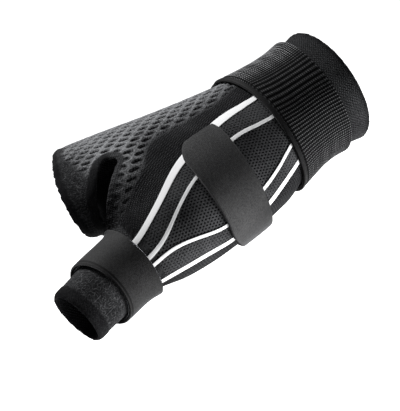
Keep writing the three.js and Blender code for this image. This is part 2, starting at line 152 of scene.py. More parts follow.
def along_line(line, x):
    """The y and z of a middle line at each x."""
    back = line[::-1]
    return np.interp(x, back[:, 0], back[:, 1]), np.interp(x, back[:, 0], back[:, 2])


def turn_about(line, points):
    """Degrees about a middle line: 0 on the thumb side, 90 on the back of the hand."""
    y, z = along_line(line, points[:, 0])
    return np.degrees(np.arctan2(points[:, 2] - z, y - points[:, 1]))


def resampled(values, count):
    """A smooth curve through the rows of an array, at count places evenly along them."""
    at = np.linspace(0, len(values) - 1, count)
    low = np.clip(np.floor(at).astype(int), 0, len(values) - 2)
    t = (at - low).reshape(-1, *[1] * (values.ndim - 1))
    last = len(values) - 1
    a, b, c, d = (values[np.clip(low + k, 0, last)] for k in (-1, 0, 1, 2))
    return b + 0.5 * t * (c - a + t * (2 * a - 5 * b + 4 * c - d + t * (3 * (b - c) + d - a)))


def fine_grid(grid, rows, cols):
    return resampled(resampled(grid, rows).swapaxes(0, 1), cols).swapaxes(0, 1)


# Camera, lights and floor


def add_camera():
    azimuth, elevation, roll = (math.radians(v) for v in (CAMERA_AZIMUTH, CAMERA_ELEVATION, CAMERA_ROLL))
    back = Vector((math.sin(azimuth) * math.cos(elevation), -math.cos(azimuth) * math.cos(elevation),
                   math.sin(elevation)))
    level = Vector((math.cos(azimuth), math.sin(azimuth), 0))
    upright = back.cross(level)
    right = level * math.cos(roll) - upright * math.sin(roll)
    up = level * math.sin(roll) + upright * math.cos(roll)
    across = (ORIGIN_PIXEL[0] - FRAME_PIXELS[0] / 2) / FOCAL_PIXELS * ORIGIN_DEPTH
    above = (FRAME_PIXELS[1] / 2 - ORIGIN_PIXEL[1]) / FOCAL_PIXELS * ORIGIN_DEPTH
    data = bpy.data.cameras.new("camera")
    data.sensor_width = data.sensor_height = SENSOR
    data.lens = FOCAL_PIXELS / FRAME_PIXELS[1] * SENSOR
    data.clip_start = 0.01
    camera = bpy.data.objects.new("camera", data)
    bpy.context.collection.objects.link(camera)
    place = (back * ORIGIN_DEPTH - right * across - up * above) * MM
    for row in range(3):
        camera.matrix_world[row] = (right[row], up[row], back[row], place[row])
    bpy.context.scene.camera = camera
    return right, up, back


def add_light(name, way, distance, size, power):
    data = bpy.data.lights.new(name, "AREA")
    data.shape = "DISK"
    data.size = size
    data.energy = power
    light = bpy.data.objects.new(name, data)
    bpy.context.collection.objects.link(light)
    light.location = LIT_PLACE + way.normalized() * distance
    light.rotation_euler = way.to_track_quat("Z", "Y").to_euler()


def add_studio(right, up, back):
    scene = bpy.context.scene
    scene.view_settings.view_transform = "Standard"
    scene.world = bpy.data.worlds.new("studio")
    scene.world.use_nodes = True
    sky = scene.world.node_tree.nodes["Background"]
    sky.inputs["Color"].default_value = (0.97, 0.98, 1.0, 1)
    sky.inputs["Strength"].default_value = SKY_STRENGTH
    add_light("key", up * 1.0 - right * 0.75 - back * 0.15, distance=0.7, size=0.25, power=10)
    add_light("low", right * 1.0 - up * 0.8 + back * 0.3, distance=0.28, size=0.15, power=1.3)
    add_floor()


def add_floor():
    turns = np.linspace(0, 2 * math.pi, 48, endpoint=False)
    rim = [(FLOOR_RADIUS * math.cos(a), FLOOR_RADIUS * math.sin(a), FLOOR_HEIGHT) for a in turns]
    mesh = bpy.data.meshes.new("floor")
    mesh.from_pydata(rim, [], [tuple(range(len(rim)))])
    floor = bpy.data.objects.new("floor", mesh)
    bpy.context.collection.objects.link(floor)
    pale = bpy.data.materials.new("floor")
    pale.use_nodes = True
    shader = pale.node_tree.nodes["Principled BSDF"]
    shader.inputs["Base Color"].default_value = (0.93, 0.93, 0.93, 1)
    shader.inputs["Roughness"].default_value = 0.8
    shader.inputs["Emission Color"].default_value = (1, 1, 1, 1)
    shader.inputs["Emission Strength"].default_value = FLOOR_GLOW
    mesh.materials.append(pale)


# Meshes


def add_mesh(name, points, faces, uv=None, fields=None):
    """An object from points in millimetres, with a UV for each face corner and values for each point."""
    mesh = bpy.data.meshes.new(name)
    mesh.from_pydata((points * MM).tolist(), [], faces)
    if uv is not None:
        layer = mesh.uv_layers.new(name="UVMap")
        layer.data.foreach_set("uv", np.asarray(uv, dtype=np.float32).ravel())
    for key, values in (fields or {}).items():
        attribute = mesh.attributes.new(key, "FLOAT", "POINT")
        attribute.data.foreach_set("value", np.asarray(values, dtype=np.float32))
    mesh.polygons.foreach_set("use_smooth", np.ones(len(mesh.polygons), dtype=bool))
    mesh.validate()
    piece = bpy.data.objects.new(name, mesh)
    bpy.context.collection.objects.link(piece)
    return piece


def points_of(mesh):
    points = np.empty(3 * len(mesh.vertices), dtype=np.float32)
    mesh.vertices.foreach_get("co", points)
    return points.reshape(-1, 3).astype(float) / MM


def normals_of(mesh):
    normals = np.empty(3 * len(mesh.vertices), dtype=np.float32)
    mesh.vertices.foreach_get("normal", normals)
    return normals.reshape(-1, 3).astype(float)


def edges_of(mesh):
    edges = np.empty(2 * len(mesh.edges), dtype=np.int32)
    mesh.edges.foreach_get("vertices", edges)
    return edges.reshape(-1, 2)


def relaxed(points, edges, rounds, share=0.5):
    """Points moved towards the middle of their neighbours, some rounds over."""
    count = np.bincount(edges.ravel(), minlength=len(points))[:, None]
    for _ in range(rounds):
        total = np.stack([
            np.bincount(edges[:, 0], points[edges[:, 1], k], len(points))
            + np.bincount(edges[:, 1], points[edges[:, 0], k], len(points)) for k in range(points.shape[1])
        ], axis=1)
        points = points + share * (total / count - points)
    return points


def evened(points, edges, rounds, share=1.0):
    """Points smoothed without shrinking: each round moves them in, and then a little further out."""
    for _ in range(rounds):
        points = relaxed(points, edges, 1, IN_SHARE * share)
        points = relaxed(points, edges, 1, OUT_SHARE * share)
    return points


def nearest(points, targets):
    """How far each point is from the nearest of the targets."""
    found = np.full(len(points), 1e3)
    at_once = 4000
    if len(targets):
        for start in range(0, len(points), at_once):
            part = points[start:start + at_once]
            apart = ((part[:, None, :] - targets[None, :, :]) ** 2).sum(2)
            found[start:start + at_once] = np.sqrt(apart.min(1))
    return found


def remeshed(node, voxel):
    """A new mesh of a CAD node's shape in even quads."""
    bm = bmesh.new()
    bm.from_mesh(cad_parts[node].data)
    bmesh.ops.remove_doubles(bm, verts=bm.verts, dist=1e-6)
    mesh = bpy.data.meshes.new("rough")
    bm.to_mesh(mesh)
    bm.free()
    rough = bpy.data.objects.new("rough", mesh)
    bpy.context.collection.objects.link(rough)
    modifier = rough.modifiers.new("even", "REMESH")
    modifier.mode = "VOXEL"
    modifier.voxel_size = voxel * MM
    seen = rough.evaluated_get(bpy.context.evaluated_depsgraph_get())
    made = bpy.data.meshes.new_from_object(seen)
    bpy.data.objects.remove(rough)
    return made


def set_points(mesh, points):
    mesh.vertices.foreach_set("co", (points * MM).astype(np.float32).ravel())
    mesh.update()


# The knitted sleeve


def on_thumb(points):
    """True where a point belongs to the thumb's tube beyond the web."""
    py, pz = along_line(PALM_LINE, points[:, 0])
    ty, tz = along_line(THUMB_LINE, points[:, 0])
    palm = np.hypot((points[:, 1] - py) / PALM_HALF_BREADTH, (points[:, 2] - pz) / PALM_HALF_THICKNESS)
    thumb = np.hypot(points[:, 1] - ty, points[:, 2] - tz) / THUMB_HALF_BREADTH
    return (points[:, 0] < WEB_X) & (thumb < palm)


def faces_out(points, normals):
    """True on the sleeve's outer side."""
    palm = np.stack(along_line(PALM_LINE, points[:, 0]), axis=1)
    thumb = np.stack(along_line(THUMB_LINE, points[:, 0]), axis=1)
    across = palm - thumb
    share = ((points[:, 1:] - thumb) * across).sum(1) / (across ** 2).sum(1)
    beyond = points[:, 0] < CROTCH_X
    share = np.where(beyond, np.where(on_thumb(points), 0, 1), np.clip(share, 0, 1))
    middle = thumb + share[:, None] * across
    return ((points[:, 1:] - middle) * normals[:, 1:]).sum(1) > 0


def around_table(tree):
    """Lengths round the sleeve from the middle of its back, by places along it and turns about it."""
    places = np.linspace(18, -116, 40)
    turns = np.radians(np.arange(-180, 181, 2.0))
    table = []
    for x in places:
        y, z = (float(v) for v in along_line(PALM_LINE, x))
        reach = np.full(len(turns), np.nan)
        start = 90 if x > WEB_X else 45
        for i, turn in enumerate(turns):
            way = Vector((0, -math.cos(turn), math.sin(turn)))
            hit = tree.ray_cast(Vector((x, y, z)) + way * start, -way, start)
            if hit[0] is not None:
                reach[i] = start - hit[3]
        known = ~np.isnan(reach)
        reach = np.interp(turns, turns[known], reach[known]) if known.any() else np.full(len(turns), 30.0)
        for _ in range(3):
            reach = 0.5 * reach + 0.25 * (np.roll(reach, 1) + np.roll(reach, -1))
        ring = np.stack([-np.cos(turns) * reach, np.sin(turns) * reach], axis=1)
        length = np.concatenate([[0], np.cumsum(np.linalg.norm(np.diff(ring, axis=0), axis=1))])
        table.append(length - np.interp(math.pi / 2, turns, length))
    return places, turns, np.array(table)


def around(table, points):
    """The length round the sleeve of each point, and the full way round there."""
    places, turns, lengths_round = table
    turn = np.radians(turn_about(PALM_LINE, points))
    row = np.clip((places[0] - points[:, 0]) / (places[0] - places[1]), 0, len(places) - 1.001)
    col = np.clip((turn - turns[0]) / (turns[1] - turns[0]), 0, len(turns) - 1.001)
    i, j = row.astype(int), col.astype(int)
    s, t = row - i, col - j
    near, far = lengths_round[i, j], lengths_round[i + 1, j]
    near_next, far_next = lengths_round[i, j + 1], lengths_round[i + 1, j + 1]
    length = near * (1 - s) * (1 - t) + far * s * (1 - t) + near_next * (1 - s) * t + far_next * s * t
    girths = lengths_round[:, -1] - lengths_round[:, 0]
    return length, np.interp(points[:, 0], places[::-1], girths[::-1])


def stripe_rows(node):
    """The rows of a CAD stripe: x, and the turns of its two edges."""
    points = points_of(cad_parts[node].data)
    turns = turn_about(THUMB_LINE, points)
    rows = {}
    for x, turn in zip(np.round(points[:, 0], 1), turns):
        rows.setdefault(float(x), []).append(float(turn))
    xs = sorted(rows, reverse=True)
    joined = []
    for x in xs:
        if joined and abs(joined[-1][0] - x) < 0.35:
            joined[-1][1].extend(rows[x])
        else:
            joined.append([x, list(rows[x])])
    return np.array([(x, min(t), max(t)) for x, t in joined])


def stripe_turn(rows, x):
    """The turn of a stripe's middle at each x."""
    back = rows[::-1]
    return np.interp(x, back[:, 0], (back[:, 1] + back[:, 2]) / 2)


STRIPE_ROWS = {name: stripe_rows(name) for name in STRIPE_NODES}


def rim_distances(points, edges, outside):
    """How far each point is from the cuff's, the thumb's and the loop's rim and from the slot's edge."""
    turning = outside[edges[:, 0]] != outside[edges[:, 1]]
    rim = points[np.unique(edges[turning])]
    way = PALM_RIM_WAY / np.linalg.norm(PALM_RIM_WAY)
    cuff = rim[:, 0] > 12
    thumb = on_thumb(rim) & (rim[:, 0] < -108)
    loop = ((rim - PALM_RIM) @ way > -5) & ~on_thumb(rim)
    slot = ~(cuff | thumb | loop) & (rim[:, 2] > 2) & (rim[:, 0] < -66)
    return [nearest(points, rim[chosen]) for chosen in (cuff, thumb, loop, slot)]


def even_rims(points):
    """The points with the waves of the cuff's, the thumb's and the loop's rim taken out."""
    thumb = on_thumb(points)
    ends = [
        (points[:, 0] > 8, PALM_LINE[0], PALM_LINE[0] - PALM_LINE[1]),
        (thumb & (points[:, 0] < -100), THUMB_RIM, THUMB_RIM_WAY),
        (~thumb & (points[:, 0] < -70), PALM_RIM, PALM_RIM_WAY),
    ]
    for chosen, middle, way in ends:
        points[chosen] = even_rim(points[chosen], middle, way / np.linalg.norm(way))
    return points


def even_rim(points, middle, way):
    """The points near a rim, moved along its way so that it goes round evenly."""
    apart = points - middle
    across = np.cross(way, (0.0, 0.0, 1.0))
    across /= np.linalg.norm(across)
    over = np.cross(across, way)
    angle = np.arctan2(apart @ over, apart @ across)
    out = apart @ way
    bins = 72
    which = np.floor((angle + math.pi) / (2 * math.pi) * bins).astype(int) % bins
    most = np.full(bins, -1e3)
    np.maximum.at(most, which, out)
    places = (np.arange(bins) + 0.5) / bins * 2 * math.pi - math.pi
    spread = np.exp(-(np.minimum(np.arange(bins), bins - np.arange(bins)) / RIM_SPREAD) ** 2)
    even = spread_round(most, spread / spread.sum())
    soft = spread_round(most, (0.5, 0.25, *[0] * (bins - 3), 0.25))
    wave = np.interp(angle, places, even - soft, period=2 * math.pi)
    reach = np.interp(angle, places, most, period=2 * math.pi)
    return points + way * (wave * (1 - smooth(1, 7, reach - out)))[:, None]


def spread_round(values, shares):
    """Values round a circle, each spread over its neighbours."""
    return np.real(np.fft.ifft(np.fft.fft(values) * np.fft.fft(shares)))


def zones(points, outside, rims, table):
    """Where each kind of knit lies, from 0 to 1 at each point, what the patterns follow, and the painted
    shade on the net.
    """
    cuff, thumb_rim, loop, slot = rims
    x, y = points[:, 0], points[:, 1]
    thumb = on_thumb(points)
    turn = turn_about(THUMB_LINE, points)
    palm_turn = turn_about(PALM_LINE, points)
    slot_away, slot_run = slot_side(points)
    out = outside.astype(float)
    body = out * ~thumb
    dimple_edge = np.interp(x, DIMPLE_EDGE[::-1, 0], DIMPLE_EDGE[::-1, 1])
    back_side = smooth(-8, 2, palm_turn) * (1 - smooth(172, 180, palm_turn))
    loop_side = body * smooth(-80, -86, x) * (1 - smooth(18, 26, y - 0.4 * (WEB_X - x)))
    dimple = (body * smooth(-3, 5, turn - dimple_edge) * back_side * smooth(2.6, 3.6, slot)
              * smooth(4.5, 7.0, loop) * (1 - smooth(-4, 4, x)))
    dimple = dimple * (1 - loop_side * smooth(-86, -90, x))
    dimple = dimple * (1 - 0.45 * smooth(-72, -80, x) * (1 - smooth(6, 14, y + 8)))
    a, b, c, d = (stripe_turn(STRIPE_ROWS[name], x) for name in STRIPE_NODES)
    between = lambda low, high: smooth(0, 1.5, turn - low) * (1 - smooth(-1.5, 0, turn - high))
    thumb_side = body * (x < -14) * (x > -97)
    jacquard = np.maximum(
        body * smooth(3.2, 4.2, loop) * loop_side * back_side * smooth(4.6, 5.6, slot) * (1 - dimple),
        out * thumb * smooth(5.0, 5.8, thumb_rim) * smooth(-98, -101, x))
    hems = [1 - smooth(width, width + HEM_END, rim)
            for width, rim in ((CUFF_HEM, cuff), (THUMB_HEM, thumb_rim), (LOOP_HEM, loop))]
    slot_hem = (1 - smooth(SLOT_HEM, SLOT_HEM + SLOT_HEM_END, slot)) * smooth(-1.5, 1.5, -slot_away)
    return {
        "u": -x,
        "v": around(table, points)[0],
        "turn": turn,
        "slot_run": slot_run,
        "cuff": cuff,
        "thumb_rim": thumb_rim,
        "loop": loop,
        "slot": slot,
        "thumb": thumb.astype(float),
        "inside": 1 - out,
        "loop_side": loop_side,
        "dimple": dimple,
        "mesh": thumb_side * between(c, b),
        "channel": thumb_side * (between(b, a) + between(d, c)),
        "below": thumb_side * between(d - 40, d),
        "rib": thumb_side * between(a, np.minimum(dimple_edge, 170)) * (1 - dimple),
        "jacquard": jacquard,
        "hem": out * np.maximum.reduce([*hems, slot_hem]),
        # Painted shade on the dimpled net: darker towards its lower edge and towards the loop
        "painted_shade": (0.3 + 0.7 * smooth(-2, 26, turn - dimple_edge)) * (1 - 0.4 * smooth(-72, -90, x)),
        "edge": out * (1 - smooth(2.0, 2.6, slot)) * smooth(-1.5, 1.5, slot_away),
    }


def slot_side(points):
    """How far a point is from the slot's middle line, above 0 on the thumb's side, and its place along it."""
    run = (SLOT_END - SLOT_START) / np.linalg.norm(SLOT_END - SLOT_START)
    apart = points[:, :2] - SLOT_START
    return run[0] * apart[:, 1] - run[1] * apart[:, 0], apart @ run


def dimple_depth(u, v):
    """The dimples, which lie in staggered rows, the ridge round each and its upper side."""
    row = np.round(v / DIMPLE_ROWS)
    du = np.mod(u + (np.mod(row, 2) + 0.5) * DIMPLE_PITCH / 2, DIMPLE_PITCH) - DIMPLE_PITCH / 2
    dv = v - row * DIMPLE_ROWS
    far = np.hypot(du / DIMPLE_LONG, dv / DIMPLE_WIDE)
    ridge = np.exp(-((far - 1.12) / 0.13) ** 2)
    return 1 - smooth(0.72, 1.02, far), ridge, smooth(-0.2, 0.8, dv / DIMPLE_WIDE)


def relief(z):
    """How far each point of the outer side stands out, and how light it is painted: the yarn's tone, with
    painted shade and painted highlights.
    """
    pit, ridge, upper = dimple_depth(z["u"], z["v"])
    net = z["dimple"]
    raised = net * (0.05 - (0.5 + 0.5 * upper) * pit + 0.2 * ridge) + 0.2 * z["channel"] + 0.22 * z["hem"]
    knots = smooth(-0.2, 0.8, np.sin(2 * math.pi * z["slot_run"] / KNOT_PITCH)) * z["edge"]
    raised += 0.3 * knots - 0.12 * z["edge"]
    # Painted light on the dimpled net: each dimple painted darker, most on its upper side (painted shade),
    # and the ridge round it painted lighter, less on its upper side (painted highlight)
    tone = 0.16 + net * z["painted_shade"] * (0.34 - (0.1 + 0.36 * upper) * pit + (0.42 - 0.2 * upper) * ridge)
    tone += 0.12 * z["channel"] + 0.11 * z["mesh"] + 0.16 * knots - 0.06 * z["edge"]
    tone -= 0.08 * z["hem"] + 0.06 * z["rib"] + 0.05 * z["loop_side"]
    return raised, tone


def subdivide(mesh, chosen):
    """The mesh with each edge cut in two whose points are both chosen."""
    bm = bmesh.new()
    bm.from_mesh(mesh)
    bm.verts.ensure_lookup_table()
    edges = [e for e in bm.edges if chosen[e.verts[0].index] and chosen[e.verts[1].index]]
    bmesh.ops.subdivide_edges(bm, edges=edges, cuts=1, use_grid_fill=True)
    bmesh.ops.triangulate(bm, faces=[f for f in bm.faces if len(f.verts) > 4])
    made = bpy.data.meshes.new("fine")
    bm.to_mesh(made)
    bm.free()
    return made


def measured(mesh, table):
    """A mesh's points, normals and edges, and the zones of the knit on it."""
    points, normals, edges = points_of(mesh), normals_of(mesh), edges_of(mesh)
    outside = faces_out(points, normals)
    rims = rim_distances(points, edges, outside)
    return points, normals, edges, zones(points, outside, rims, table)


def make_sleeve():
    mesh = remeshed("knit_sleeve", SLEEVE_VOXEL)
    edges = edges_of(mesh)
    points = relaxed(points_of(mesh), edges, 3)
    set_points(mesh, even_rims(evened(points, edges, 70)))
    tree = tree_of(mesh)
    table = around_table(tree)
    z = measured(mesh, table)[-1]
    mesh = subdivide(mesh, (z["dimple"] > 0.02) | (z["jacquard"] > 0.02) | (z["edge"] > 0.1))
    set_points(mesh, relaxed(points_of(mesh), edges_of(mesh), 2, 0.35))
    points, normals, edges, z = measured(mesh, table)
    brim = np.minimum.reduce([z["cuff"], z["thumb_rim"], z["loop"], z["slot"]])
    brim, loop, thumb = relaxed(np.stack([brim, z["loop"], z["thumb"]], axis=1), edges, 14).T
    raised, tone = relief(z)
    points = curled(points + normals * (raised * smooth(0.6, 1.8, brim))[:, None], loop, thumb)
    near = (1 - smooth(1.6, 3.0, brim))[:, None]
    points = evened(points, edges, 14, near)
    tone = relaxed(np.where(z["inside"] > 0.5, 0.1, tone)[:, None], edges, 6, 0.5 * near)[:, 0]
    fields = {"tone": tone, "mesh_knit": np.clip(z["mesh"] + 0.55 * z["channel"] + 0.6 * z["below"], 0, 1),
              "rib_knit": z["rib"], "jacquard_knit": z["jacquard"], "hem_knit": z["hem"],
              "net_knit": z["dimple"], "round_thumb": np.radians(z["turn"]) * 2.0}
    faces = [list(face.vertices) for face in mesh.polygons]
    return add_mesh("sleeve", points, faces, sleeve_uv(faces, points, z, table), fields), tree


def curled(points, loop, thumb):
    """The points with the loop's rim turned inwards."""
    curl = RIM_CURL * (1 - smooth(0, 3.6, loop)) * (1 - thumb)
    inward = np.stack(along_line(PALM_LINE, points[:, 0]), axis=1) - points[:, 1:]
    points[:, 1:] += inward / np.linalg.norm(inward, axis=1, keepdims=True) * curl[:, None]
    return points


def sleeve_uv(faces, points, z, table):
    """A UV for each face corner, with no face that runs back right round the sleeve."""
    tube = z["thumb"] > 0.5
    v = np.where(tube, np.radians(z["turn"]) * THUMB_RADIUS, z["v"])
    girth = np.where(tube, 2 * math.pi * THUMB_RADIUS, around(table, points)[1])
    uv = []
    for corners in faces:
        for i in corners:
            apart = v[i] - v[corners[0]]
            turned = round(apart / girth[i]) if abs(apart) > THUMB_RADIUS else 0
            uv.append((z["u"][i] / UV_UNIT, (v[i] - turned * girth[i]) / UV_UNIT))
    return uv


def tree_of(mesh):
    points = points_of(mesh)
    return BVHTree.FromPolygons([tuple(p) for p in points], [tuple(f.vertices) for f in mesh.polygons])


# Straps and stripes on the sleeve


def reach_out(tree, start, way):
    """How far the sleeve's outer side is from a place inside it."""
    start, way = Vector(start), Vector(way)
    first = tree.ray_cast(start, way, 70)
    if first[0] is None:
        return np.nan
    second = tree.ray_cast(start + way * (first[3] + 0.3), way, 3.5)
    return first[3] + 0.3 + second[3] if second[0] is not None else first[3]


def reaches(tree, starts, ways):
    """How far the sleeve's outer side is along each line of a grid, with the misses filled in."""
    found = np.array([[reach_out(tree, s, w) for s, w in zip(*row)] for row in zip(starts, ways)])
    flat = found.ravel()
    known = ~np.isnan(flat)
    places = np.arange(len(flat))
    return np.interp(places, places[known], flat[known]).reshape(found.shape)


def rays_out(line, x, turn):
    """Lines out of a middle line, for arrays of x and of turns in degrees."""
    y, z = along_line(line, x)
    starts = np.stack([x, y, z], axis=-1)
    ways = np.stack([0 * x, -np.cos(np.radians(turn)), np.sin(np.radians(turn))], axis=-1)
    return starts, ways


def grid_normals(points, ways):
    """The normals of a grid of points, on the side that the ways point to."""
    normals = np.cross(np.gradient(points, axis=0), np.gradient(points, axis=1))
    normals /= np.linalg.norm(normals, axis=2, keepdims=True)
    return normals * np.sign((normals * ways).sum(2, keepdims=True))


def lengths(points, axis):
    """The way along a grid of points, averaged over the other axis."""
    steps = np.linalg.norm(np.diff(points, axis=axis), axis=2).mean(axis=1 - axis)
    return np.concatenate([[0], np.cumsum(steps)])


def rounded(way, radius):
    """1 away from both ends of a row of places and 0 at the ends, along a quarter circle."""
    near = np.clip(np.minimum(way, way[-1] - way) / radius, 0, 1)
    return np.sqrt(1 - (1 - near) ** 2)


def add_band(name, points, ways, thickness, lift=0.0, raised=None, fields=None, edge=0.6, ends=0.6):
    """A closed band of cloth with rounded edges, whose inner face lies lift above a grid of points."""
    normals = grid_normals(points, ways)
    along, across = lengths(points, 0), lengths(points, 1)
    full = rounded(along, ends)[:, None] * rounded(across, edge)[None, :]
    middle = lift + thickness / 2
    top = middle + thickness / 2 * full + (0 if raised is None else raised * full)
    low = middle - thickness / 2 * full
    rows, cols = points.shape[:2]
    outer = points + normals * top[..., None]
    inner = points + normals * low[..., None]
    index = np.arange(rows * cols).reshape(rows, cols)
    quads = np.stack([index[:-1, :-1], index[1:, :-1], index[1:, 1:], index[:-1, 1:]], axis=-1).reshape(-1, 4)
    under = quads[:, ::-1] + rows * cols
    border = np.concatenate([index[0, :-1], index[:-1, -1], index[-1, :0:-1], index[:0:-1, 0]])
    after = np.roll(border, -1)
    sides = np.stack([border, after, after + rows * cols, border + rows * cols], axis=-1)
    faces = np.concatenate([quads, under, sides])
    everything = np.concatenate([outer.reshape(-1, 3), inner.reshape(-1, 3)])
    uv_grid = np.stack(np.meshgrid(along, across, indexing="ij"), axis=-1).reshape(-1, 2) / UV_UNIT
    uv_points = np.concatenate([uv_grid, uv_grid])
    first, second, third = everything[faces[0][:3]]
    if np.cross(second - first, third - first) @ normals[0, 0] < 0:
        faces = faces[:, ::-1]
    values = {key: np.concatenate([value.ravel(), value.ravel()]) for key, value in (fields or {}).items()}
    piece = add_mesh(name, everything, faces.tolist(), uv_points[faces.ravel()], values)
    return piece, along[-1], across[-1]


def lift_of_turns(turned):
    """How far a strap lies off the sleeve after so many degrees, with its end on its own start."""
    return STRAP_LIFT + (STRAP_THICKNESS + STRAP_GAP) * smooth(360 - STEP_UP, 360, turned)


def round_wrist(tree, low_x, high_x, rows, cols):
    """The grid of a strap right round the wrist, whose end lies over its own start."""
    turned = np.linspace(0, 1, rows // 4)[:, None] * (360 + WRIST_OVERLAP)
    s = np.linspace(0, 1, 5)[None, :]
    turn = WRIST_START + turned + 0 * s
    at = np.mod(turn, 360)
    swell = smooth(20, 110, at) * (1 - smooth(200, 300, at)) * WRIST_SWELL
    middle = (WRIST_EDGE + BINDING_EDGE) / 2
    x = middle + (high_x + (low_x - high_x) * s - middle) * (1 + 2 * swell)
    starts, ways = rays_out(PALM_LINE, x, turn)
    points = starts + ways * (reaches(tree, starts, ways) + lift_of_turns(turned))[..., None]
    points, ways, turn = (fine_grid(grid, rows, cols) for grid in (points, ways, turn[..., None]))
    return points, ways, turn[..., 0]


def make_wrist_strap(tree):
    points, ways, turn = round_wrist(tree, BINDING_EDGE + BINDING_WIDTH + STRAP_GAP, WRIST_EDGE, 640, 90)
    along, across = lengths(points, 0), lengths(points, 1)
    at = np.mod(turn[:, 0] + 180, 360) - 180
    wide = smooth(18, 34, at) * (1 - smooth(48, 62, at))
    pitch = WEBBING_PITCH + WEBBING_WIDER * wide
    count = np.concatenate([[0], np.cumsum(np.diff(along) / pitch[:-1])])
    ribs = 0.5 - 0.5 * np.cos(2 * math.pi * count)[:, None]
    beads = 0.5 - 0.5 * np.cos(2 * math.pi * across / BEAD_PITCH)[None, :]
    depth = (0.42 + 0.15 * wide)[:, None]
    height = ribs ** 0.6 * (0.35 + 0.65 * beads)
    # Painted highlight on the tops of the beads, made weaker or stronger round the wrist as the light falls
    # there
    painted_light_round = 0.5 - 0.27 * smooth(8, 24, at) + 1.3 * smooth(56, 80, at)
    painted_highlight = smooth(0.5, 0.98, ribs * beads) * painted_light_round[:, None]
    return add_band("wrist_strap_webbing", points, ways, STRAP_THICKNESS, raised=depth * (height - 0.75),
                    fields={"height": height, "painted_highlight": painted_highlight})


def make_binding(tree):
    points, ways, _ = round_wrist(tree, BINDING_EDGE, BINDING_EDGE + BINDING_WIDTH, 320, 12)
    return add_band("wrist_strap_edge", points, ways, STRAP_THICKNESS, edge=STRAP_ROUNDING)[0]


def cross_rays(rows, cols):
    """Lines out of the root of the thumb to the cross strap, whose start has round corners."""
    t = np.linspace(0, 1, rows)[:, None]
    s = np.linspace(0, 1, cols)[None, :]
    fine = np.where(t < 0.25, t * t * 4, t)
    start = CROSS_START[0] + (CROSS_START[1] - CROSS_START[0]) * s
    turn = start + (CROSS_END - start) * fine
    full = math.radians(CROSS_START[1] - CROSS_END) * (ROOT_RADIUS + STRAP_LIFT)
    from_end = np.minimum(fine * full, CROSS_CORNER)
    cut = CROSS_CORNER - np.sqrt(CROSS_CORNER ** 2 - (CROSS_CORNER - from_end) ** 2)
    near = CROSS_MIDDLE + CROSS_WIDTH / 2 - 0.2 * cut
    far = CROSS_MIDDLE - CROSS_WIDTH / 2 + 0.8 * cut
    return rays_out(THUMB_LINE, near + (far - near) * s + CROSS_SKEW * s * smooth(20, 75, -turn), turn)


def make_cross_strap(tree):
    rows, cols = 170, 36
    starts, ways = cross_rays(35, 6)
    loose = reaches(tree, starts, ways)
    taut = loose.copy()
    for _ in range(40):
        at = starts + ways * taut[..., None]
        between = (at[:-2] + at[2:]) / 2
        taut[1:-1] += np.maximum(((between - at[1:-1]) * ways[1:-1]).sum(2), 0)
    extra = fine_grid(taut - loose, rows, cols)
    starts, ways = cross_rays(rows, cols)
    reach = relaxed_rows(reaches(tree, starts, ways) + extra, 6)
    points = starts + ways * (reach + STRAP_LIFT)[..., None]
    return add_band("cross_strap_cloth", points, ways, STRAP_THICKNESS,
                    edge=STRAP_ROUNDING, ends=STRAP_ROUNDING)


def thumb_frames(shares):
    """Points along the thumb's middle line, and the directions out and up there."""
    x = -THUMB_REACH * shares
    y, z = along_line(THUMB_LINE, x)
    middle = np.stack([x, y, z], axis=-1)
    ahead = np.gradient(middle, axis=0)
    ahead = relaxed_rows(ahead / np.linalg.norm(ahead, axis=1, keepdims=True), 60)
    ahead /= np.linalg.norm(ahead, axis=1, keepdims=True)
    out = np.array((0.0, -1.0, 0.0)) + ahead * ahead[:, 1:2]
    out /= np.linalg.norm(out, axis=1, keepdims=True)
    return middle, out, np.cross(ahead, out)


def make_thumb_strap(tree):
    rows, cols = 260, 44
    middle, out, up = thumb_frames(np.linspace(0.5, 1.0, 201))
    walked = np.concatenate([[0], np.cumsum(np.linalg.norm(np.diff(middle, axis=0), axis=1))])
    back = walked[-1] - np.linspace(THUMB_CUFF_MARGIN + THUMB_STRAP_WIDTH, THUMB_CUFF_MARGIN, cols)
    pick = lambda grid: np.stack([np.interp(back, walked, grid[:, k]) for k in range(3)], axis=-1)
    turned = np.linspace(0, 1, rows)[:, None] * (360 + THUMB_OVERLAP)
    turn = np.radians(turned + THUMB_START)
    starts = np.repeat(pick(middle)[None], rows, axis=0)
    ways = pick(out)[None] * np.cos(turn)[..., None] + pick(up)[None] * np.sin(turn)[..., None]
    reach = reaches(tree, starts, ways)
    for _ in range(12):
        reach = relaxed_rows(relaxed_rows(reach, 1).T, 1).T
    points = starts + ways * (reach + lift_of_turns(turned))[..., None]
    across = lengths(points, 1)
    line = np.exp(-((across[-1] - across - LINE_PLACE) / LINE_WIDTH) ** 2)[None, :] + 0 * turned
    return add_band("thumb_strap_cloth", points, ways, STRAP_THICKNESS, raised=-LINE_DEPTH * line,
                    edge=STRAP_ROUNDING, ends=STRAP_ROUNDING, fields={"line": line})


def make_stripe(tree, node):
    rows = relaxed_rows(resampled(STRIPE_ROWS[node], 140), 60)
    turn = rows[:, 1:2] + (rows[:, 2:3] - rows[:, 1:2]) * STRIPE_SHARES[None, :]
    starts, ways = rays_out(THUMB_LINE, rows[:, 0:1] + 0 * turn, turn)
    reach = relaxed_rows(reaches(tree, starts, ways), 4)
    points = starts + ways * reach[..., None]
    return add_band(node + "_yarn", points, ways, STRIPE_THICKNESS, lift=STRIPE_LIFT,
                    edge=STRIPE_ROUNDING, ends=STRIPE_ROUNDING)[0]


# Materials


